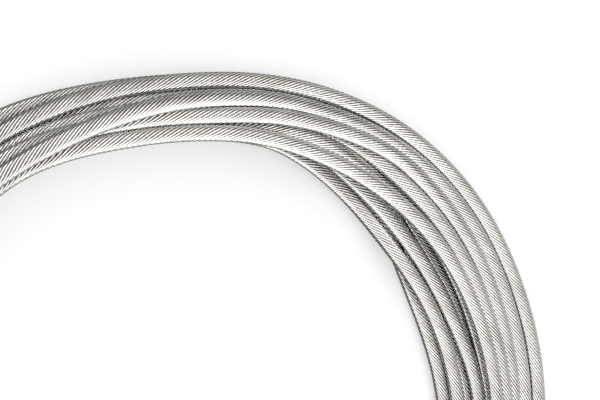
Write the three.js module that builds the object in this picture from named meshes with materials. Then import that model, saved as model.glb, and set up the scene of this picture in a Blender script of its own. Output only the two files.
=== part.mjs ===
// Bicycle shift cable: one stranded stainless steel inner wire with a cast head, wound in a round coil.
// Millimetres, +Z up. The origin is on the ground, at the middle of the coil.
import * as THREE from 'three';

// The wire, its head and the coil
const CABLE_DIAMETER = 1.2;
const HEAD_DIAMETER = 4.0;
const HEAD_LENGTH = 4.0;
const HEAD_CHAMFER = 0.35;
const HEAD_DIMPLE_RADIUS = 0.75;
const HEAD_DIMPLE_DEPTH = 0.25;
const COIL_OUTER_RADIUS = 28.5;

// Section of the wound coil: the outer turns are met one by one, from the lowest outside to the
// lowest inside. Each heading is the step from one turn to the next that it touches, in degrees
// up from the way to the coil's middle.
const SECTION_STEPS = [60, 60, 0, 60, -60, -60, -60];

// The turns lie looser on one side of the coil, so the band is wider there and narrower opposite.
const BAND_SPREAD = 0.35;
const LOOSE_SIDE = 25;

// Clearance between a loose stretch of the cable and what it comes out of, and over the ground
const SEAT_GAP = 0.3;
const GROUND_GAP = 0.02;

// Loose ends, both inside the coil and on the ground. Each point is the angle round the coil in
// degrees, and how far the cable lies inward from where it would touch the coil's inner wall.
const LEAD_ROUTE = [[192, 6.2], [198, 4.7], [204, 3.3], [211, 1.9], [219, 0.8], [228, 0.2], [238, 0], [246, 0]];
const TAIL_ROUTE = [[276, 0], [284, 0], [293, 0.2], [302, 0.7], [311, 1.5], [319, 2.6]];

// Facets
const COIL_SEGMENTS = 64;
const TURN_ARC_STEP = 40;
const CABLE_SIDES = 8;
const HEAD_SIDES = 32;
const STEP_IN_DIAMETERS = 2;

const cableRadius = CABLE_DIAMETER / 2;
const coilSegmentAngle = (2 * Math.PI) / COIL_SEGMENTS;

const stainless = new THREE.MeshStandardMaterial({ color: 0xc9c8c4, roughness: 0.3, metalness: 1 });
const castHead = new THREE.MeshStandardMaterial({ color: 0xb9bab8, roughness: 0.42, metalness: 1 });

// Middles of the outer turns in the section. x is the distance in from the outermost turn's
// middle, and y is the height.
function outerTurnMiddles() {
  const middles = [new THREE.Vector2(0, cableRadius)];
  for (const heading of SECTION_STEPS) {
    const angle = THREE.MathUtils.degToRad(heading);
    const step = new THREE.Vector2(Math.cos(angle), Math.sin(angle)).multiplyScalar(CABLE_DIAMETER);
    middles.push(middles[middles.length - 1].clone().add(step));
  }
  return middles;
}

// Width of the wound band where it is neither loosest nor tightest
function bandWidth() {
  const middles = outerTurnMiddles();
  return middles[middles.length - 1].x + CABLE_DIAMETER;
}

function bandScale(angle) {
  return 1 + BAND_SPREAD * Math.cos(angle - THREE.MathUtils.degToRad(LOOSE_SIDE));
}

// Outline of the section: a round lobe for each outer turn, which meets the next lobe where the two
// turns touch. The underside is flat, where the lowest turns lie on the ground.
function coilSection() {
  const middles = outerTurnMiddles();
  const arcStep = THREE.MathUtils.degToRad(TURN_ARC_STEP);
  const outline = [];
  middles.forEach((middle, index) => {
    const before = middles[index - 1];
    const after = middles[index + 1];
    // Angles run backwards, from the underside round the outside, over the top and down the inside.
    let from = before ? before.clone().sub(middle).angle() : 1.5 * Math.PI;
    let to = after ? after.clone().sub(middle).angle() : -0.5 * Math.PI;
    while (from <= to) from += 2 * Math.PI;
    while (from - to > 2 * Math.PI) to += 2 * Math.PI;
    const steps = Math.max(1, Math.round((from - to) / arcStep));
    for (let step = before ? 1 : 0; step <= steps; step += 1) {
      const angle = from + ((to - from) * step) / steps;
      const inward = middle.x + cableRadius * Math.cos(angle);
      const height = middle.y + cableRadius * Math.sin(angle);
      outline.push(new THREE.Vector2(COIL_OUTER_RADIUS - cableRadius - inward, height));
    }
  });
  outline.push(outline[0].clone());
  return outline;
}

// The wound coil as one ring, with its band spread on the loose side
function coilGeometry() {
  const ring = new THREE.LatheGeometry(coilSection(), COIL_SEGMENTS);
  ring.rotateX(Math.PI / 2);
  const places = ring.getAttribute('position');
  for (let index = 0; index < places.count; index += 1) {
    const x = places.getX(index);
    const y = places.getY(index);
    const radius = Math.hypot(x, y);
    const angle = Math.atan2(y, x);
    const spread = COIL_OUTER_RADIUS - (COIL_OUTER_RADIUS - radius) * bandScale(angle);
    places.setX(index, spread * Math.cos(angle));
    places.setY(index, spread * Math.sin(angle));
  }
  return ring;
}

// Point on the middle of a loose stretch that lies the given distance in from the coil's inner wall
function insideCoil(degrees, inset, height) {
  const angle = THREE.MathUtils.degToRad(degrees);
  const wall = (COIL_OUTER_RADIUS - bandWidth() * bandScale(angle)) * Math.cos(coilSegmentAngle / 2);
  const radius = wall - SEAT_GAP - cableRadius - inset;
  return new THREE.Vector3(radius * Math.cos(angle), radius * Math.sin(angle), height);
}

function cableGeometry(points) {
  const section = new THREE.Shape();
  for (let side = 0; side < CABLE_SIDES; side += 1) {
    const angle = ((side + 0.5) * 2 * Math.PI) / CABLE_SIDES;
    const x = cableRadius * Math.cos(angle);
    const y = cableRadius * Math.sin(angle);
    if (side === 0) section.moveTo(x, y);
    else section.lineTo(x, y);
  }
  section.closePath();
  const path = new THREE.CatmullRomCurve3(points);
  const steps = Math.round(path.getLength() / (STEP_IN_DIAMETERS * CABLE_DIAMETER));
  return new THREE.ExtrudeGeometry(section, { steps, bevelEnabled: false, extrudePath: path });
}

// Head: a turned and cast cylinder with both rims chamfered. A shallow dimple on its outer end shows
// where the wire's end is upset into it. The profile runs up the axis from the face that the cable
// comes out of, which is at height 0.
function headGeometry() {
  const radius = HEAD_DIAMETER / 2;
  const profile = [
    new THREE.Vector2(0, 0),
    new THREE.Vector2(radius - HEAD_CHAMFER, 0),
    new THREE.Vector2(radius, HEAD_CHAMFER),
    new THREE.Vector2(radius, HEAD_LENGTH - HEAD_CHAMFER),
    new THREE.Vector2(radius - HEAD_CHAMFER, HEAD_LENGTH),
    new THREE.Vector2(HEAD_DIMPLE_RADIUS, HEAD_LENGTH),
    new THREE.Vector2(0, HEAD_LENGTH - HEAD_DIMPLE_DEPTH),
  ];
  const head = new THREE.LatheGeometry(profile, HEAD_SIDES);
  // Half a facet's turn puts a flat facet straight down.
  head.rotateY(Math.PI / HEAD_SIDES);
  head.rotateZ(Math.PI / 2);
  return head;
}

// The head lies on its side, so the cable's middle comes out of it higher than it lies on the ground.
const headHeight = (HEAD_DIAMETER / 2) * Math.cos(Math.PI / HEAD_SIDES);
const restHeight = cableRadius + GROUND_GAP;

// The lead falls from the head's height to the ground over its first stretch.
const LEAD_FALL = [1, 1, 0.62, 0.22, 0];
const leadPoints = LEAD_ROUTE.map(([degrees, inset], index) => {
  const share = LEAD_FALL[Math.min(index, LEAD_FALL.length - 1)];
  return insideCoil(degrees, inset, restHeight + (headHeight - restHeight) * share);
});
const tailPoints = TAIL_ROUTE.map(([degrees, inset]) => insideCoil(degrees, inset, restHeight));

const group = new THREE.Group();

const coil = new THREE.Mesh(coilGeometry(), stainless);
coil.name = 'cable_coil';
group.add(coil);

const lead = new THREE.Mesh(cableGeometry(leadPoints), stainless);
lead.name = 'cable_lead';
group.add(lead);

const tail = new THREE.Mesh(cableGeometry(tailPoints), stainless);
tail.name = 'cable_tail';
group.add(tail);

// The head's seat face looks along the lead, from which it stands back by the seat gap.
const leadStart = new THREE.CatmullRomCurve3(leadPoints).getTangent(0).setZ(0).normalize();
const head = new THREE.Mesh(headGeometry(), castHead);
head.name = 'cable_head';
head.position.copy(leadPoints[0]).addScaledVector(leadStart, -SEAT_GAP);
head.rotation.z = Math.atan2(leadStart.y, leadStart.x);
group.add(head);

export default group;
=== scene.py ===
"""Looks of a bicycle shift cable: a stranded stainless inner wire with a cast head, in a round coil.

The scene is in metres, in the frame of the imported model, and the cable's own sizes are written in
millimetres. The coil lies on the ground with its middle at the origin. Bearings are degrees round
the coil, counterclockwise from +X as seen from above.
"""
import logging
import math
from dataclasses import dataclass
from enum import Enum

import bpy
import numpy as np
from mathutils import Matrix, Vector


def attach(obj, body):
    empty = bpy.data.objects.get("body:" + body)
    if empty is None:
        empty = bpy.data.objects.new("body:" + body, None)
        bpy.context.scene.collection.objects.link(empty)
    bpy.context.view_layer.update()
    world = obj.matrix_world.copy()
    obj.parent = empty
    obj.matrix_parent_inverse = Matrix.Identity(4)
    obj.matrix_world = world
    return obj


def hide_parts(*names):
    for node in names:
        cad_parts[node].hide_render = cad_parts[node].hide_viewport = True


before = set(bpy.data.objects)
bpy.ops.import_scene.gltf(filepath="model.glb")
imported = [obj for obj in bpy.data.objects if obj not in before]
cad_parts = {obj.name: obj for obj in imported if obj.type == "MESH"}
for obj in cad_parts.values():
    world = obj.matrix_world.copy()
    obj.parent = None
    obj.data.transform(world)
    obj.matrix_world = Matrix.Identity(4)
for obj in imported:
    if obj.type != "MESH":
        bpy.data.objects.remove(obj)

LOG = logging.getLogger("shift_cable")
MM = 0.001
ROOT_BODY = "root"
WIRE_SLOT = "drawn_stainless_wire"

# Nearly all values of a noise texture lie between these.
NOISE_SPAN = (0.3, 0.7)


def linear_colour(hex_code: str, alpha: float = 1.0) -> tuple[float, float, float, float]:
    """Turn an sRGB hex value into the linear colour that a shader socket takes.

    Args:
        hex_code: six hex digits, without a hash sign.
        alpha: opacity.

    Returns:
        Red, green, blue and alpha, linear.
    """
    channels = [int(hex_code[start : start + 2], 16) / 255 for start in (0, 2, 4)]
    linear = [c / 12.92 if c <= 0.04045 else ((c + 0.055) / 1.055) ** 2.4 for c in channels]
    return (*linear, alpha)


def add_node(
    tree: bpy.types.NodeTree,
    kind: str,
    settings: dict[str, object] | None = None,
    values: dict[int | str, object] | None = None,
    links: dict[int | str, bpy.types.NodeSocket] | None = None,
) -> bpy.types.Node:
    """Add one shader node, set it up and link its inputs.

    Args:
        tree: the node tree that takes the node.
        kind: the node's type name.
        settings: properties of the node itself.
        values: default values of its inputs, by name or number.
        links: output sockets that feed its inputs, by name or number.

    Returns:
        The new node.
    """
    node = tree.nodes.new(kind)
    for name, value in (settings or {}).items():
        setattr(node, name, value)
    for key, value in (values or {}).items():
        node.inputs[key].default_value = value
    for key, source in (links or {}).items():
        tree.links.new(source, node.inputs[key])
    return node


def new_material(name: str) -> tuple[bpy.types.Material, bpy.types.NodeTree, bpy.types.Node]:
    """Make an empty node material.

    Args:
        name: the finish's plain name.

    Returns:
        The material, its node tree and its output node.
    """
    material = bpy.data.materials.new(name)
    material.use_nodes = True
    tree = material.node_tree
    tree.nodes.clear()
    return material, tree, tree.nodes.new("ShaderNodeOutputMaterial")


def mesh_object(name: str, mesh: bpy.types.Mesh) -> bpy.types.Object:
    """Put a mesh into the scene under the given name.

    Args:
        name: the piece's name.
        mesh: its mesh, in the part's frame.

    Returns:
        The new object, at the origin.
    """
    piece = bpy.data.objects.new(name, mesh)
    bpy.context.scene.collection.objects.link(piece)
    return piece


def smooth_through(at: np.ndarray, values: np.ndarray, where: np.ndarray) -> np.ndarray:
    """Read a smooth curve that passes through known values.

    Args:
        at: rising places of the known values.
        values: the known values, one row each.
        where: the places to read.

    Returns:
        The curve's value at each of those places.
    """
    slope = np.gradient(values, at, axis=0)
    index = np.clip(np.searchsorted(at, where, side="right") - 1, 0, len(at) - 2)
    shape = (-1,) + (1,) * (values.ndim - 1)
    span = (at[index + 1] - at[index]).reshape(shape)
    t = (where - at[index]).reshape(shape) / span
    return (
        (1 + 2 * t) * (1 - t) ** 2 * values[index]
        + t * (1 - t) ** 2 * span * slope[index]
        + t * t * (3 - 2 * t) * values[index + 1]
        + t * t * (t - 1) * span * slope[index + 1]
    )


@dataclass(frozen=True)
class Photographer:
    """Camera of the photograph, which looks down on the far side of the coil from close by.

    Lengths are in millimetres. The target is the point on the ground at the middle of the picture.
    """

    target: tuple[float, float, float] = (5.24, 19.02, 0.0)
    lean_degrees: float = 25.0
    lean_bearing: float = 170.0
    distance: float = 80.0
    focal_pixels: float = 1040.0
    picture_width_pixels: int = 600
    sensor_width: float = 36.0

    @property
    def toward(self) -> Vector:
        """Direction from the target to the camera.

        Returns:
            The direction, of length one.
        """
        lean, bearing = math.radians(self.lean_degrees), math.radians(self.lean_bearing)
        level = math.sin(lean)
        return Vector((level * math.cos(bearing), level * math.sin(bearing), math.cos(lean)))

    @property
    def place(self) -> np.ndarray:
        """Where the camera stands, in millimetres."""
        return np.array(self.target) + self.distance * np.array(self.toward)

    def build(self) -> bpy.types.Object:
        """Create the camera and make it the scene's.

        Returns:
            The camera object.
        """
        data = bpy.data.cameras.new("photograph_camera")
        data.sensor_width = self.sensor_width
        data.lens = self.sensor_width * self.focal_pixels / self.picture_width_pixels
        data.clip_start = MM
        camera = bpy.data.objects.new("photograph_camera", data)
        camera.location = Vector(self.place) * MM
        camera.rotation_mode = "QUATERNION"
        camera.rotation_quaternion = Vector((0, 0, 1)).rotation_difference(self.toward)
        bpy.context.scene.collection.objects.link(camera)
        bpy.context.scene.camera = camera
        return camera


@dataclass(frozen=True)
class Turn:
    """One turn of the coil.

    seen and height follow the turn at the lay's seen_bearings. seen is how far it lies inward from the
    coil's edge, as it looks from the camera, and height is how high its middle lies. At the bearings
    in hidden other turns cover it, so its place there is only a fair guess. row and place say where it
    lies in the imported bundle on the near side, which the photograph doesn't show: rows count up from
    the ground, places count inward. Lengths are in millimetres.
    """

    name: str
    seen: tuple[float, ...]
    height: tuple[float, ...]
    row: int
    place: int
    hidden: tuple[int, ...] = ()


# Heights of a turn that lies on the ground at all the bearings where the photograph shows the coil
LOW = (0.6,) * 7

# From the head's end of the cable to its bare end, which is roughly from the bottom of the bundle up
TURNS = (
    Turn(
        "innermost",
        seen=(1.55, 3.5, 4.1, 6.3, 9.3, 10.5, 10.6),
        height=LOW,
        row=0,
        place=4,
        hidden=(125, 105, 85, 65),
    ),
    Turn(
        "inner_edge",
        seen=(1.7, 3.65, 4.85, 7.1, 9.0, 9.65, 9.6),
        height=(1.8, 1.8, 1.7, 0.7, 0.9, 1.1, 1.1),
        row=1,
        place=3,
        hidden=(125, 105),
    ),
    Turn(
        "under_inner",
        seen=(0.5, 2.3, 2.95, 5.1, 8.0, 8.65, 8.3),
        height=LOW,
        row=0,
        place=3,
        hidden=(125, 105, 85, 65),
    ),
    Turn(
        "inner_second",
        seen=(0.6, 2.4, 3.4, 6.2, 7.7, 8.05, 7.2),
        height=(1.8, 1.8, 1.8, 1.7, 1.7, 1.7, 1.7),
        row=1,
        place=2,
        hidden=(125, 105, 85),
    ),
    Turn(
        "under_middle",
        seen=(-0.6, 1.4, 2.1, 3.9, 6.5, 7.0, 7.0),
        height=(0.6, 0.9, 1.8, 0.6, 0.6, 0.6, 0.6),
        row=0,
        place=2,
        hidden=(125, 105, 85, 65),
    ),
    Turn(
        "middle",
        seen=(1.3, 2.7, 3.8, 4.65, 5.75, 6.4, 6.3),
        height=(2.8, 2.2, 2.8, 2.0, 1.7, 1.6, 1.5),
        row=1,
        place=1,
        hidden=(125, 105),
    ),
    Turn(
        "under_outer",
        seen=(0.1, 1.25, 1.6, 2.3, 3.0, 3.4, 3.5),
        height=(1.8, 1.9, 1.5, 0.9, 0.6, 0.6, 0.6),
        row=0,
        place=1,
        hidden=(85,),
    ),
    Turn(
        "outermost_low",
        seen=(-1.8, 0.05, 0.6, 1.15, 1.6, 2.0, 2.0),
        height=LOW,
        row=0,
        place=0,
        hidden=(85,),
    ),
    Turn(
        "outermost",
        seen=(-0.9, 0.35, 0.66, 0.7, 1.05, 1.45, 1.4),
        height=(2.2, 1.9, 1.8, 1.7, 1.6, 1.5, 1.5),
        row=1,
        place=0,
    ),
    Turn(
        "second",
        seen=(1.2, 1.95, 1.88, 1.92, 2.25, 2.78, 2.85),
        height=(4.4, 4.1, 3.1, 2.0, 1.8, 1.8, 1.8),
        row=2,
        place=0,
    ),
    Turn(
        "third",
        seen=(0.7, 2.55, 2.9, 2.92, 3.3, 3.88, 3.95),
        height=(3.7, 3.3, 3.6, 3.0, 2.4, 2.2, 2.0),
        row=2,
        place=1,
        hidden=(125,),
    ),
    Turn(
        "fourth",
        seen=(0.5, 2.3, 3.1, 3.78, 4.55, 4.95, 4.75),
        height=(2.8, 2.2, 2.5, 2.6, 2.8, 2.6, 2.4),
        row=2,
        place=2,
        hidden=(125, 105, 85),
    ),
    Turn(
        "topmost",
        seen=(1.7, 3.7, 4.8, 5.5, 5.78, 5.9, 5.65),
        height=(3.8, 3.6, 3.7, 3.4, 3.5, 3.4, 3.2),
        row=3,
        place=1,
    ),
)


@dataclass(frozen=True)
class Edges:
    """The wound band's outer and inner edge at one bearing, in millimetres in from the coil's edge."""

    bearing: float
    outer: float
    inner: float


# Where the photograph shows both edges of the band. From 135 degrees on, past its left border, they
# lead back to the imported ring.
BAND_EDGES = (
    Edges(75, 0.05, 6.8),
    Edges(80, 0.03, 6.1),
    Edges(85, 0.02, 5.45),
    Edges(90, -0.04, 5.15),
    Edges(95, -0.1, 4.9),
    Edges(100, -0.22, 4.6),
    Edges(105, -0.6, 4.25),
    Edges(110, -1.15, 3.85),
    Edges(115, -1.65, 3.4),
    Edges(120, -2.1, 2.9),
    Edges(125, -2.45, 2.3),
    Edges(130, -2.85, 1.8),
    Edges(135, -2.8, 2.0),
    Edges(145, -1.9, 3.4),
    Edges(155, -0.9, 5.0),
    Edges(165, 0.0, 6.0),
)


@dataclass(frozen=True)
class LooseEnd:
    """Stretch of the cable inside the coil.

    route gives bearings, with distances in from the coil's inner wall in millimetres. head_share says
    how far its first points rise from the ground to the height of the head's middle, and its last
    value holds for all points after them.
    """

    route: tuple[tuple[float, float], ...]
    head_share: tuple[float, ...] = (0.0,)


@dataclass
class CoilLay:
    """Line that the cable's middle follows from its head, round and round the coil, to its bare end.

    Each turn starts where the photograph shows it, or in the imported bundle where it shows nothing.
    The turns are then let settle: they push each other apart wherever they would cut into each
    other, rest on the ground, and stay as smooth as a springy wire. Lengths are in millimetres.
    """

    camera: Photographer
    diameter: float = 1.2
    outer_radius: float = 28.5
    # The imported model's inner wall, which has flat segments and is thicker on the loose side
    band_width: float = 6.0
    band_spread: float = 0.35
    loose_side: float = 25.0
    wall_segments: int = 64
    # The loose ends, which keep a gap to the wall and to the ground, and the head that the lead meets
    seat_gap: float = 0.3
    ground_gap: float = 0.02
    reach_into_head: float = 0.05
    head_radius: float = 2.0
    head_sides: int = 32
    lead: LooseEnd = LooseEnd(
        ((192, 6.2), (198, 4.7), (204, 3.3), (211, 1.9), (219, 0.8), (228, 0.2), (238, 0), (246, 0)),
        (1, 1, 0.62, 0.22, 0),
    )
    tail: LooseEnd = LooseEnd(((276, 0), (284, 0), (293, 0.2), (302, 0.7), (311, 1.5), (319, 2.6)))
    # What the photograph shows, as it looks on a level plane at seen_height
    turns: tuple[Turn, ...] = TURNS
    edges: tuple[Edges, ...] = BAND_EDGES
    seen_bearings: tuple[float, ...] = (125, 105, 85, 65, 45, 25, 5)
    seen_edge: float = 28.4
    seen_height: float = 2.0
    trust_hidden: float = 0.3
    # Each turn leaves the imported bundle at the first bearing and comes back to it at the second. Its
    # rows lie this share of the diameter apart.
    bundle_bearings: tuple[float, float] = (290, 200)
    row_height: float = 0.87
    # The coiled stretch lies along the wall this many degrees beyond both its ends, in line with them.
    run_up: float = 8.0
    # Settling: round after round, each point is pushed out of its neighbours by a share of what is too
    # much, and pulled a little to where it should be, its height more weakly.
    station_step: float = 3.0
    settle_rounds: int = 900
    push_share: float = 0.45
    least_apart: float = 1e-3
    pull_seen: float = 0.03
    pull_hidden: float = 0.004
    height_pull: float = 0.5
    stiffness: float = 0.4

    @property
    def rest(self) -> float:
        """Height of the cable's middle where a loose end lies on the ground."""
        return self.diameter / 2 + self.ground_gap

    @property
    def span(self) -> tuple[float, float]:
        """Bearings where the coiled stretch starts and ends, counted on from turn to turn."""
        return self.lead.route[-1][0], self.tail.route[0][0] + 360 * len(self.turns)

    def wall_inset(self, bearing: float) -> float:
        """Say how far in from the coil's outer radius the cable lies along the coil's inner wall.

        Args:
            bearing: where round the coil, in degrees.

        Returns:
            The distance from the outer radius to the cable's middle.
        """
        scale = 1 + self.band_spread * math.cos(math.radians(bearing - self.loose_side))
        wall = (self.outer_radius - self.band_width * scale) * math.cos(math.pi / self.wall_segments)
        return self.outer_radius - (wall - self.seat_gap - self.diameter / 2)

    def knots(self) -> np.ndarray:
        """List what is known of the coiled stretch before it settles.

        Returns:
            Rows of bearing from the first turn on, inset, height, and how well it is known: 1 where
            the camera sees it, 0 on the side that the photograph doesn't show.
        """
        start, end = self.span
        rows = [(b, self.wall_inset(b), self.rest, 0) for b in (start - self.run_up, start)]
        for count, turn in enumerate(self.turns):
            begin = 360 * count
            inset = self.diameter * (0.5 + turn.place + turn.row / 2)
            height = self.diameter * (0.5 + self.row_height * turn.row)
            rows.append((begin + self.bundle_bearings[0], inset, height, 0))
            for bearing, seen, z in sorted(zip(self.seen_bearings, turn.seen, turn.height)):
                known = self.trust_hidden if bearing in turn.hidden else 1
                rows.append((begin + 360 + bearing, seen, z, known))
            rows.append((begin + 360 + self.bundle_bearings[1], inset, height, 0))
        rows += [(b, self.wall_inset(b), self.rest, 0) for b in (end, end + self.run_up)]
        return np.array(rows)

    def real_inset(
        self, inset: np.ndarray, height: np.ndarray, bearings: np.ndarray, known: np.ndarray
    ) -> np.ndarray:
        """Undo the camera's perspective: where a point lies that the camera sees at an inset.

        Args:
            inset: insets as they look on a level plane at seen_height.
            height: heights of the points themselves.
            bearings: their bearings in degrees.
            known: 1 where the camera sees the inset, 0 where it is the real one already.

        Returns:
            Insets from the coil's outer radius.
        """
        angle, radius = np.radians(bearings), self.seen_edge - inset
        level = np.full_like(radius, self.seen_height)
        looks = np.stack([radius * np.cos(angle), radius * np.sin(angle), level], -1)
        share = (self.camera.place[2] - height) / (self.camera.place[2] - self.seen_height)
        real = self.camera.place + (looks - self.camera.place) * share[:, None]
        return inset + known * (self.outer_radius - np.hypot(real[:, 0], real[:, 1]) - inset)

    def between_edges(self, bearings: np.ndarray) -> tuple[np.ndarray, np.ndarray]:
        """Say between which insets the cable's middle stays inside the band's edges.

        Args:
            bearings: bearings of the points along the wire, in degrees.

        Returns:
            The least and the greatest inset of each point, endless where no edge is known.
        """
        around = bearings % 360
        known_at = [edge.bearing for edge in self.edges]
        outer = [edge.outer + self.diameter / 2 for edge in self.edges]
        inner = [edge.inner - self.diameter / 2 for edge in self.edges]
        least = np.interp(around, known_at, outer, left=-np.inf, right=-np.inf)
        return least, np.interp(around, known_at, inner, left=np.inf, right=np.inf)

    def push_apart(
        self, inset: np.ndarray, height: np.ndarray, station: np.ndarray, lap: np.ndarray
    ) -> tuple[np.ndarray, np.ndarray]:
        """Push turns away from those that they cut into.

        Args:
            inset: insets of the points along the wire.
            height: their heights.
            station: at which of the evenly spaced bearings each point lies.
            lap: how many times the wire has gone round before it.

        Returns:
            The new insets and heights.
        """
        ways = []
        for values in (inset, height):
            # The last lap ends early, so a part of the table stays empty.
            table = np.full((station.max() + 1, lap.max() + 1), np.nan)
            table[station, lap] = values
            ways.append(table[:, :, None] - table[:, None, :])
        apart = np.hypot(*ways)
        same = np.arange(apart.shape[1])
        apart[:, same, same] = np.nan
        cut = (self.diameter - apart) / np.maximum(apart, self.least_apart)
        cut = np.where(apart < self.diameter, cut, 0)
        across, up = [self.push_share * np.nansum(way * cut, 2)[station, lap] for way in ways]
        return inset + across, height + up

    def soften(self, values: np.ndarray) -> None:
        """Take out the bends that a stiff wire wouldn't make.

        Args:
            values: insets or heights along the wire, which change in place.
        """
        bend = np.zeros_like(values)
        bend[1:-1] = (values[:-2] + values[2:]) / 2 - values[1:-1]
        change = np.zeros_like(values)
        change[1:-1] = (bend[:-2] + bend[2:]) / 2 - bend[1:-1]
        values[2:-2] -= self.stiffness * change[2:-2]

    def settled(self) -> np.ndarray:
        """Let the turns settle on the ground and on each other.

        Returns:
            Points of the coiled stretch in order, in millimetres.
        """
        knots = self.knots()
        first, last = self.span
        bearings = np.arange(first, last + self.station_step / 2, self.station_step)
        seen_inset, wanted_height = smooth_through(knots[:, 0], knots[:, 1:3], bearings).T
        known = np.clip(np.interp(bearings, knots[:, 0], knots[:, 3]), 0, 1)
        pull = self.pull_hidden + (self.pull_seen - self.pull_hidden) * known
        lap, station = np.divmod(np.arange(len(bearings)), round(360 / self.station_step))
        least, most = self.between_edges(bearings)
        height = wanted_height.copy()
        inset = self.real_inset(seen_inset, height, bearings, known)
        ends = [0, 1, -2, -1]
        fixed = inset[ends].copy(), height[ends].copy()
        for _ in range(self.settle_rounds):
            inset, height = self.push_apart(inset, height, station, lap)
            height = np.maximum(height, self.diameter / 2)
            aim = self.real_inset(seen_inset, height, bearings, known)
            inset += (aim - inset) * pull
            height += (wanted_height - height) * pull * self.height_pull
            inset = np.clip(inset, least, most)
            self.soften(inset)
            self.soften(height)
            inset[ends], height[ends] = fixed
        angle, radius = np.radians(bearings), self.outer_radius - inset
        return np.stack([radius * np.cos(angle), radius * np.sin(angle), height], -1)

    def loose(self, end: LooseEnd) -> np.ndarray:
        """Place the points of a loose end.

        Args:
            end: the loose end's route.

        Returns:
            Its points, in millimetres.
        """
        rise = self.head_radius * math.cos(math.pi / self.head_sides) - self.rest
        points = []
        for count, (bearing, inset) in enumerate(end.route):
            share = end.head_share[min(count, len(end.head_share) - 1)]
            radius = self.outer_radius - self.wall_inset(bearing) - inset
            angle = math.radians(bearing)
            points.append((radius * math.cos(angle), radius * math.sin(angle), self.rest + rise * share))
        return np.array(points)

    def line(self) -> np.ndarray:
        """Join the loose ends and the coiled stretch.

        Returns:
            The cable's middle from head to bare end, in millimetres.
        """
        LOG.info("turns from the head on: %s", ", ".join(turn.name for turn in self.turns))
        lead, tail = self.loose(self.lead), self.loose(self.tail)
        back = lead[0] - lead[1]
        seat = lead[0] + back / np.linalg.norm(back) * (self.seat_gap + self.reach_into_head)
        return np.vstack([seat, lead[:-1], self.settled(), tail[1:]])


@dataclass(frozen=True)
class Section:
    """Closed outline that is swept along the cable, as corners in polar form round its middle.

    Angles are in degrees and radii in millimetres. across counts wires round the cable, and creased
    marks the corners where the surface folds sharply.
    """

    angles: tuple[float, ...]
    radii: tuple[float, ...]
    across: tuple[float, ...]
    creased: tuple[bool, ...]

    def sweep(self, name: str, middle: np.ndarray, twist: np.ndarray, along: np.ndarray) -> bpy.types.Mesh:
        """Sweep the section along a line.

        Args:
            name: the mesh's name.
            middle: evenly spaced points in millimetres, one ring of corners at each.
            twist: how far each ring is turned, in degrees.
            along: distance of each ring from the start of the line, for the surface's own UV map.

        Returns:
            The closed mesh, in metres.
        """
        rings, corners = len(middle), len(self.angles)
        ahead = np.gradient(middle, axis=0)
        ahead /= np.linalg.norm(ahead, axis=1)[:, None]
        side = np.cross(ahead, (0.0, 0.0, 1.0))
        side /= np.linalg.norm(side, axis=1)[:, None]
        up = np.cross(side, ahead)
        angle = np.radians(twist[:, None] + np.array(self.angles)[None, :])
        out = (np.array(self.radii) * np.cos(angle))[:, :, None] * side[:, None, :]
        rise = (np.array(self.radii) * np.sin(angle))[:, :, None] * up[:, None, :]
        points = (middle[:, None, :] + out + rise).reshape(-1, 3) * MM
        corner = np.arange(corners)
        after = (corner + 1) % corners
        ring = (np.arange(rings - 1) * corners)[:, None]
        walls = np.stack([ring + corner, ring + after, ring + after + corners, ring + corner + corners], -1)
        walls = walls.reshape(-1, 4)
        last = (rings - 1) * corners
        loops = np.r_[walls.ravel(), corner[::-1], last + corner]
        sizes = np.r_[np.full(len(walls), 4), corners, corners]
        mesh = bpy.data.meshes.new(name)
        mesh.vertices.add(len(points))
        mesh.vertices.foreach_set("co", points.ravel())
        mesh.loops.add(len(loops))
        mesh.loops.foreach_set("vertex_index", loops)
        mesh.polygons.add(len(sizes))
        mesh.polygons.foreach_set("loop_start", np.r_[0, np.cumsum(sizes)[:-1]])
        mesh.update(calc_edges=True)
        mesh.shade_smooth()
        self.lay_surface(mesh, rings, along)
        self.crease(mesh)
        return mesh

    def lay_surface(self, mesh: bpy.types.Mesh, rings: int, along: np.ndarray) -> None:
        """Give the mesh a UV map: wires round the cable, and millimetres along it.

        Args:
            mesh: the swept mesh.
            rings: how many rings of corners it has.
            along: distance of each ring from the start of the line.
        """
        corners = len(self.angles)
        across = np.array(self.across)
        step = np.arange(corners)
        wrap = np.where(step == corners - 1, across[0], across[(step + 1) % corners])
        u = np.tile(np.stack([across, wrap, wrap, across], -1), (rings - 1, 1, 1))
        v = np.stack([along[:-1], along[:-1], along[1:], along[1:]], -1)
        v = np.repeat(v[:, None, :], corners, axis=1)
        walls = np.stack([u, v], -1).reshape(-1)
        layer = mesh.uv_layers.new(name="wire_surface")
        caps = np.full(corners * 4, 0.5)
        layer.data.foreach_set("uv", np.r_[walls, caps])

    def crease(self, mesh: bpy.types.Mesh) -> None:
        """Mark the edges that run along the creased corners, and those round both ends.

        Args:
            mesh: the swept mesh.
        """
        corners, count = len(self.angles), len(mesh.vertices)
        ends = np.empty(len(mesh.edges) * 2, dtype=np.int32)
        mesh.edges.foreach_get("vertices", ends)
        first, second = ends.reshape(-1, 2).T
        runs = first % corners == second % corners
        folded = np.array(self.creased)[first % corners]
        low, high = np.minimum(first, second), np.maximum(first, second)
        rim = (high < corners) | (low >= count - corners)
        mesh.edges.foreach_set("use_edge_sharp", (runs & folded) | rim)


class LayHand(Enum):
    """Way the outer wires run round the cable, named as a screw thread is."""

    LEFT = 1
    RIGHT = -1


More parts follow.
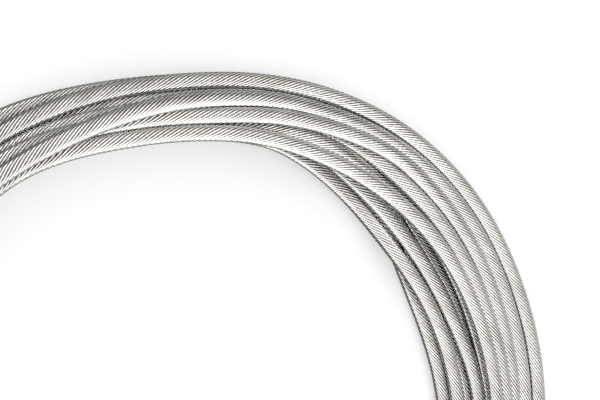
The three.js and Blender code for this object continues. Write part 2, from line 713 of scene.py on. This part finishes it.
@dataclass(frozen=True)
class Stub:
    """Short round piece with a domed end, on the cable's own line. Lengths are in millimetres.

    dome is how far its end bulges, and rim how wide its edges are rounded. A face whose normal points
    up by more than upright belongs to its top.
    """

    name: str
    radius: float
    height: float
    dome: float
    rim: float
    sides: int = 40
    dome_steps: int = 4
    upright: float = 0.9
    rim_segments: int = 3
    smooth_below: float = 40.0

    def crown(self, piece: bpy.types.Object) -> None:
        """Raise the piece's top face into a dome, ring by ring.

        Args:
            piece: the upright cylinder.
        """
        bpy.context.tool_settings.mesh_select_mode = (False, False, True)
        bpy.ops.object.mode_set(mode="EDIT")
        bpy.ops.mesh.select_all(action="DESELECT")
        bpy.ops.object.mode_set(mode="OBJECT")
        for face in piece.data.polygons:
            face.select = face.normal.z > self.upright
        bpy.ops.object.mode_set(mode="EDIT")
        quarter = np.linspace(0, math.pi / 2, self.dome_steps + 2)[:-1]
        inward = self.radius * (np.cos(quarter[:-1]) - np.cos(quarter[1:]))
        rise = self.dome * (np.sin(quarter[1:]) - np.sin(quarter[:-1]))
        for thickness, depth in zip(inward, rise):
            bpy.ops.mesh.inset(thickness=thickness * MM, depth=depth * MM)
        bpy.ops.object.mode_set(mode="OBJECT")

    def build(self, foot: Vector, way: Vector, finish: bpy.types.Material, slot: str) -> bpy.types.Object:
        """Model the piece upright, then lay it along the cable.

        Args:
            foot: the middle of its flat end, in metres.
            way: which way its dome looks.
            finish: its material.
            slot: not used.

        Returns:
            The finished piece, at the origin.
        """
        bpy.ops.object.select_all(action="DESELECT")
        bpy.ops.mesh.primitive_cylinder_add(
            vertices=self.sides,
            radius=self.radius * MM,
            depth=self.height * MM,
            location=(0, 0, self.height * MM / 2),
        )
        piece = bpy.context.active_object
        piece.name = piece.data.name = self.name
        bpy.ops.object.transform_apply(location=True, rotation=True, scale=True)
        self.crown(piece)
        bpy.ops.object.modifier_add(type="BEVEL")
        bevel = piece.modifiers[-1]
        bevel.width, bevel.segments = self.rim * MM, self.rim_segments
        bpy.ops.object.modifier_apply(modifier=bevel.name)
        bpy.ops.object.shade_smooth_by_angle(angle=math.radians(self.smooth_below))
        piece.rotation_mode = "QUATERNION"
        piece.rotation_quaternion = Vector((0, 0, 1)).rotation_difference(way)
        piece.location = foot
        bpy.ops.object.transform_apply(location=True, rotation=True, scale=True)
        piece.data.materials.append(finish)
        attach(piece, ROOT_BODY)
        LOG.info("%s: %d faces", piece.name, len(piece.data.polygons))
        return piece


@dataclass
class StrandedCable:
    """The cable itself: a layer of drawn wires round a core strand, fused at its bare end.

    The outer wires come in groups of neighbours, each group one piece, to keep the pieces light.
    Lengths are in millimetres.
    """

    diameter: float = 1.2
    length: float = 2100.0
    hand: LayHand = LayHand.LEFT
    # The melted bead, and how much of the cable's end it covers
    fused_end: Stub = Stub("fused_end", radius=0.61, height=1.1, dome=0.4, rim=0.06)
    fused_over: float = 1.0
    # Each outer wire is a lobe between two grooves, with a shoulder at a share of its width.
    outer_wires: int = 15
    groups: int = 5
    lay_length: float = 6.1
    rings_per_lay: int = 14
    groove_radius: float = 0.5
    shoulder_radius: float = 0.569
    shoulder_share: float = 0.3
    inner_radius: float = 0.48
    inner_corners: int = 3
    # The core strand, with a ring of corners every core_step
    core_radius: float = 0.45
    core_sides: int = 10
    core_step: float = 1.0
    # The curve through the line's points is first drawn this finely, to measure along it.
    fine_step: float = 0.1

    def evenly(self, line: np.ndarray, step: float) -> tuple[np.ndarray, np.ndarray]:
        """Space points evenly along a smooth curve through the line's points.

        Args:
            line: the points to pass through.
            step: the distance wanted between the new points.

        Returns:
            The new points, from the first to the last, and their distances along the curve.
        """
        along = np.r_[0, np.cumsum(np.linalg.norm(np.diff(line, axis=0), axis=1))]
        fine = np.arange(0, along[-1], self.fine_step)
        curve = np.vstack([smooth_through(along, line, fine), line[-1]])
        along = np.r_[0, np.cumsum(np.linalg.norm(np.diff(curve, axis=0), axis=1))]
        even = np.linspace(0, along[-1], round(along[-1] / step) + 1)
        return np.stack([np.interp(even, along, curve[:, axis]) for axis in range(3)], -1), even

    def core_section(self) -> Section:
        """Draw the core strand, which hardly shows between the outer wires.

        Returns:
            Its closed outline.
        """
        turn = 360 / self.core_sides
        sides = range(self.core_sides)
        return Section(
            tuple(turn * side for side in sides),
            (self.core_radius,) * self.core_sides,
            tuple(float(side) for side in sides),
            (False,) * self.core_sides,
        )

    def group_section(self, group: int) -> Section:
        """Draw one group of outer wires: a lobe for each wire, closed along the core.

        Args:
            group: which group, from 0.

        Returns:
            The closed outline.
        """
        wires = self.outer_wires // self.groups
        wire_angle = 360 / self.outer_wires
        start = group * wires * wire_angle
        lobe = (
            (0.0, self.groove_radius, True),
            (self.shoulder_share, self.shoulder_radius, False),
            (0.5, self.diameter / 2, False),
            (1 - self.shoulder_share, self.shoulder_radius, False),
        )
        corners = [
            (start + wire_angle * (wire + share), radius, folded)
            for wire in range(wires)
            for share, radius, folded in lobe
        ]
        span = wires * wire_angle
        corners.append((start + span, self.groove_radius, True))
        corners += [
            (start + span * (1 - place / (self.inner_corners - 1)), self.inner_radius, True)
            for place in range(self.inner_corners)
        ]
        angles, radii, creased = zip(*corners)
        return Section(angles, radii, tuple(angle / wire_angle for angle in angles), creased)

    def build(self, lay: CoilLay) -> list[bpy.types.Object]:
        """Args:
            lay: the line that it follows.

        Returns:
            The core, the groups of outer wires and the fused end.
        """
        line = lay.line()
        finish = DrawnStainless().material()
        middle, along = self.evenly(line, self.core_step)
        core_mesh = self.core_section().sweep("cable_core", middle, np.zeros(len(middle)), along)
        core = mesh_object("cable_core", core_mesh)
        pieces = [core]
        rings, ring_along = self.evenly(line, self.lay_length / self.rings_per_lay)
        twist = self.hand.value * 360 * np.arange(len(rings)) / self.rings_per_lay
        for group in range(self.groups):
            name = f"outer_wires_{group + 1}"
            mesh = self.group_section(group).sweep(name, rings, twist, ring_along)
            pieces.append(mesh_object(name, mesh))
        for piece in pieces:
            piece.data.materials.append(finish)
            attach(piece, ROOT_BODY)
            LOG.info("%s: %d faces", piece.name, len(piece.data.polygons))
        way = Vector(middle[-1] - middle[-2]).normalized()
        foot = (Vector(middle[-1]) - way * self.fused_over) * MM
        pieces.append(self.fused_end.build(foot, way, FUSED_STEEL.material(), WIRE_SLOT))
        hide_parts("cable_coil", "cable_lead", "cable_tail")
        LOG.info("cable: %.0f mm long", along[-1])
        return pieces


@dataclass(frozen=True)
class DrawnStainless:
    """Stainless steel wire, drawn bright through a die. Lengths are in millimetres.

    Drawing gives the eye a clear sheen with fine lines along each wire, which spread the highlight
    a little crosswise. Drawing soap and handling leave it duller and greyer in places. The grooves
    where two wires meet are painted darker, as painted shade and not as a colour of the steel.
    """

    colour: str = "e2e1dd"
    dull_colour: str = "cfcdc8"
    # Painted shade: the grooves where two wires meet are painted in this dark colour, over the share of
    # each wire's width given below.
    groove_shade_colour: str = "544f49"
    groove_shade_share: float = 0.5
    roughness: tuple[float, float] = (0.17, 0.27)
    # Real drawing lines are a few micrometres apart. These are ten times as coarse, to show at all.
    lines_per_wire: float = 7.0
    line_length: float = 4.0
    line_depth: float = 0.0003
    line_detail: float = 2.0
    # Dull patches are some millimetres long, and nearly three wires wide.
    dull_patch: float = 9.0
    patch_across: float = 0.35
    patch_detail: float = 3.0
    patch_edge: tuple[float, float] = (0.38, 0.66)

    def material(self) -> bpy.types.Material:
        """Make the finish.

        Returns:
            The material.
        """
        material, tree, output = new_material("bright drawn stainless steel wire")
        surface = add_node(tree, "ShaderNodeUVMap", {"uv_map": "wire_surface"})
        parts = add_node(tree, "ShaderNodeSeparateXYZ", links={0: surface.outputs["UV"]})
        # Each wire runs from one whole number to the next, so this is 0 in the groove and 0.5 on
        # the crest.
        crest = add_node(
            tree,
            "ShaderNodeMath",
            {"operation": "PINGPONG"},
            values={1: 0.5},
            links={0: parts.outputs["X"]},
        )
        # Painted shade: from the groove out to the given share of the way to the crest, the wire's colour
        # turns to the dark groove colour.
        shade = add_node(
            tree,
            "ShaderNodeMapRange",
            {"interpolation_type": "SMOOTHSTEP"},
            values={1: 0.0, 2: self.groove_shade_share / 2},
            links={0: crest.outputs["Value"]},
        )
        patches = self.pattern(tree, surface, self.patch_across, 1 / self.dull_patch, self.patch_detail)
        dull = add_node(
            tree,
            "ShaderNodeMapRange",
            {"interpolation_type": "SMOOTHSTEP"},
            values={1: self.patch_edge[0], 2: self.patch_edge[1]},
            links={0: patches},
        )
        bright = add_node(
            tree,
            "ShaderNodeMix",
            {"data_type": "RGBA"},
            values={6: linear_colour(self.colour), 7: linear_colour(self.dull_colour)},
            links={0: dull.outputs["Result"]},
        )
        tint = add_node(
            tree,
            "ShaderNodeMix",
            {"data_type": "RGBA"},
            values={6: linear_colour(self.groove_shade_colour)},
            links={0: shade.outputs["Result"], 7: bright.outputs[2]},
        )
        gloss = add_node(
            tree,
            "ShaderNodeMapRange",
            values={1: NOISE_SPAN[0], 2: NOISE_SPAN[1], 3: self.roughness[0], 4: self.roughness[1]},
            links={0: patches},
        )
        lines = self.pattern(tree, surface, self.lines_per_wire, 1 / self.line_length, self.line_detail)
        relief = add_node(
            tree,
            "ShaderNodeBump",
            values={"Strength": 1.0, "Distance": self.line_depth * MM},
            links={"Height": lines},
        )
        shader = add_node(
            tree,
            "ShaderNodeBsdfPrincipled",
            values={"Metallic": 1.0},
            links={
                "Base Color": tint.outputs[2],
                "Roughness": gloss.outputs["Result"],
                "Normal": relief.outputs["Normal"],
            },
        )
        tree.links.new(shader.outputs["BSDF"], output.inputs["Surface"])
        return material

    def pattern(
        self, tree: bpy.types.NodeTree, surface: bpy.types.Node, across: float, along: float, detail: float
    ) -> bpy.types.NodeSocket:
        """Lay a random pattern over the wires' own surface.

        Args:
            tree: the material's node tree.
            surface: the node that gives the place on the wires.
            across: how often the pattern changes over the width of a wire.
            along: how often it changes in a millimetre along the wires.
            detail: how much finer detail it has.

        Returns:
            The pattern, from 0 to 1.
        """
        place = add_node(
            tree,
            "ShaderNodeMapping",
            values={"Scale": (across, along, 1.0)},
            links={"Vector": surface.outputs["UV"]},
        )
        noise = add_node(
            tree,
            "ShaderNodeTexNoise",
            values={"Scale": 1.0, "Detail": detail},
            links={"Vector": place.outputs["Vector"]},
        )
        return noise.outputs["Fac"]


@dataclass(frozen=True)
class MeltedMetal:
    """Metal with the skin that a melt leaves: a fine grain, and cloudy patches of another tone.

    Lengths are in millimetres.
    """

    name: str
    colour: str
    cloud_colour: str
    roughness: tuple[float, float]
    cloud: float
    grain: float
    grain_depth: float
    cloud_detail: float = 3.0
    cloud_edge: tuple[float, float] = (0.38, 0.64)
    grain_detail: float = 2.0

    def material(self) -> bpy.types.Material:
        """Make the finish.

        Returns:
            The material.
        """
        material, tree, output = new_material(self.name)
        place = add_node(tree, "ShaderNodeTexCoord")
        clouds = add_node(
            tree,
            "ShaderNodeTexNoise",
            values={"Scale": 1 / (self.cloud * MM), "Detail": self.cloud_detail},
            links={"Vector": place.outputs["Object"]},
        )
        cloudy = add_node(
            tree,
            "ShaderNodeMapRange",
            {"interpolation_type": "SMOOTHSTEP"},
            values={1: self.cloud_edge[0], 2: self.cloud_edge[1]},
            links={0: clouds.outputs["Fac"]},
        )
        tint = add_node(
            tree,
            "ShaderNodeMix",
            {"data_type": "RGBA"},
            values={6: linear_colour(self.colour), 7: linear_colour(self.cloud_colour)},
            links={0: cloudy.outputs["Result"]},
        )
        gloss = add_node(
            tree,
            "ShaderNodeMapRange",
            values={1: NOISE_SPAN[0], 2: NOISE_SPAN[1], 3: self.roughness[0], 4: self.roughness[1]},
            links={0: clouds.outputs["Fac"]},
        )
        grain = add_node(
            tree,
            "ShaderNodeTexNoise",
            values={"Scale": 1 / (self.grain * MM), "Detail": self.grain_detail},
            links={"Vector": place.outputs["Object"]},
        )
        relief = add_node(
            tree,
            "ShaderNodeBump",
            values={"Strength": 1.0, "Distance": self.grain_depth * MM},
            links={"Height": grain.outputs["Fac"]},
        )
        shader = add_node(
            tree,
            "ShaderNodeBsdfPrincipled",
            values={"Metallic": 1.0},
            links={
                "Base Color": tint.outputs[2],
                "Roughness": gloss.outputs["Result"],
                "Normal": relief.outputs["Normal"],
            },
        )
        tree.links.new(shader.outputs["BSDF"], output.inputs["Surface"])
        return material


# Pressure cast in a steel mould and not plated. The skin copies the mould's fine grain, so it is
# satin and greyer than the wire, with faint flow marks where the metal cooled last.
CAST_ZINC = MeltedMetal(
    name="cast zinc alloy",
    colour="bdbebc",
    cloud_colour="9ea1a2",
    roughness=(0.34, 0.5),
    cloud=1.3,
    grain=0.15,
    grain_depth=0.004,
)

# The cut end is heated until its wires melt together. The heat leaves straw-brown clouds of oxide
# on it, and the melt sets with small ripples.
FUSED_STEEL = MeltedMetal(
    name="fused stainless steel",
    colour="c8c5be",
    cloud_colour="a39580",
    roughness=(0.26, 0.44),
    cloud=0.6,
    grain=0.12,
    grain_depth=0.006,
)


@dataclass
class CableHead:
    """The head at the cable's end that the shifter pulls on, with the wire pressed into its dimple.

    Lengths are in millimetres.
    """

    length: float = 4.0
    pressed_wire: Stub = Stub("pressed_wire_end", radius=0.56, height=0.24, dome=0.07, rim=0.03)

    def build(self, lay: CoilLay) -> list[bpy.types.Object]:
        """Dress the head and close its dimple with the wire's end.

        Args:
            lay: the line of the cable, which says which way the head looks.

        Returns:
            The head and the wire's end in it.
        """
        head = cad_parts["cable_head"]
        head.data.materials.clear()
        head.data.materials.append(CAST_ZINC.material())
        LOG.info("cable_head: dressed")
        corners = [Vector(corner) for corner in head.bound_box]
        middle = sum(corners, Vector()) / len(corners)
        way = middle - Vector(lay.loose(lay.lead)[0]) * MM
        way.z = 0
        way.normalize()
        wire = self.pressed_wire
        foot = middle + way * (self.length / 2 - wire.height - wire.dome) * MM
        return [head, wire.build(foot, way, FUSED_STEEL.material(), WIRE_SLOT)]


@dataclass
class Studio:
    """White table, white surroundings and a soft box close over the coil. Sizes are in metres.

    The soft box is near enough that each turn shows it on the side that faces the coil's middle. Only
    metal shows it, and only in metal are the surroundings dim on one side. The table is painted grey
    for metal alone, a painted reflection that darkens the wires' flanks facing down. All else is lit
    evenly.
    """

    floor_size: float = 3.0
    floor_colour: str = "f2f2f2"
    floor_glow: float = 0.4
    # Painted shade: metal sees the table in this grey, so the wires' flanks that face down come out darker.
    floor_shade_in_metal: str = "9a9a9a"
    # How strong the surroundings are: for matt things, and on metal's bright and dim side
    level: float = 1.0
    bright: float = 0.95
    dim: float = 0.12
    bright_way: tuple[float, float, float] = (0.8, -0.6, 0.0)
    dim_below: float = -0.6
    bright_above: float = 0.6
    box_size: float = 0.2
    box_place: tuple[float, float, float] = (0.005, 0.03, 0.1)
    box_strength: float = 0.64

    def floor(self) -> bpy.types.Object:
        """Lay the table top that the coil lies on.

        Returns:
            The table top.
        """
        bpy.ops.object.select_all(action="DESELECT")
        bpy.ops.mesh.primitive_plane_add(size=self.floor_size)
        floor = bpy.context.active_object
        floor.name = "table_top"
        material, tree, output = new_material("matt white table top")
        path = add_node(tree, "ShaderNodeLightPath")
        # Painted shade: glossy rays see the table grey instead of white.
        shade = add_node(
            tree,
            "ShaderNodeMix",
            {"data_type": "RGBA"},
            values={6: linear_colour(self.floor_colour), 7: linear_colour(self.floor_shade_in_metal)},
            links={0: path.outputs["Is Glossy Ray"]},
        )
        matt = add_node(tree, "ShaderNodeBsdfDiffuse", links={"Color": shade.outputs[2]})
        seen = add_node(
            tree,
            "ShaderNodeMath",
            {"operation": "MULTIPLY"},
            values={1: self.floor_glow},
            links={0: path.outputs["Is Camera Ray"]},
        )
        glow = add_node(tree, "ShaderNodeEmission", links={"Strength": seen.outputs[0]})
        both = add_node(tree, "ShaderNodeAddShader", links={0: matt.outputs[0], 1: glow.outputs[0]})
        tree.links.new(both.outputs[0], output.inputs["Surface"])
        floor.data.materials.append(material)
        return floor

    def surroundings(self) -> None:
        """Fill the world with light: even for matt things, and brighter on one side in metal."""
        world = bpy.data.worlds.new("soft white studio")
        bpy.context.scene.world = world
        world.use_nodes = True
        tree = world.node_tree
        tree.nodes.clear()
        output = tree.nodes.new("ShaderNodeOutputWorld")
        direction = add_node(tree, "ShaderNodeTexCoord")
        facing = add_node(
            tree,
            "ShaderNodeVectorMath",
            {"operation": "DOT_PRODUCT"},
            values={1: self.bright_way},
            links={0: direction.outputs["Generated"]},
        )
        side = add_node(
            tree,
            "ShaderNodeMapRange",
            {"interpolation_type": "SMOOTHSTEP"},
            values={1: self.dim_below, 2: self.bright_above, 3: self.dim, 4: self.bright},
            links={0: facing.outputs["Value"]},
        )
        path = add_node(tree, "ShaderNodeLightPath")
        strength = add_node(
            tree,
            "ShaderNodeMix",
            {"data_type": "FLOAT"},
            values={2: self.level},
            links={0: path.outputs["Is Glossy Ray"], 3: side.outputs["Result"]},
        )
        light = add_node(tree, "ShaderNodeBackground", links={"Strength": strength.outputs[0]})
        tree.links.new(light.outputs[0], output.inputs["Surface"])

    def soft_box(self) -> bpy.types.Object:
        """Hang the soft box over the coil.

        Returns:
            The lamp.
        """
        data = bpy.data.lights.new("soft_box", "AREA")
        data.size = self.box_size
        # The power grows with the box's area, so that a larger box looks as bright.
        data.energy = self.box_strength * (math.pi * self.box_size) ** 2
        lamp = bpy.data.objects.new("soft_box", data)
        lamp.location = self.box_place
        lamp.visible_camera = False
        lamp.visible_diffuse = False
        bpy.context.scene.collection.objects.link(lamp)
        return lamp

    def build(self) -> None:
        """Set up the table, the surroundings and the lamp."""
        bpy.context.scene.view_settings.view_transform = "Standard"
        # The denoiser would otherwise blur the fine wires into a smooth tube.
        bpy.context.scene.cycles.denoising_prefilter = "NONE"
        self.floor()
        self.surroundings()
        self.soft_box()


def main() -> None:
    """Build the cable in its studio, piece by piece."""
    logging.basicConfig(level=logging.INFO, format="%(name)s: %(message)s")
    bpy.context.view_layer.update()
    camera = Photographer()
    camera.build()
    lay = CoilLay(camera)
    StrandedCable().build(lay)
    CableHead().build(lay)
    Studio().build()


if __name__ == "__main__":
    main()
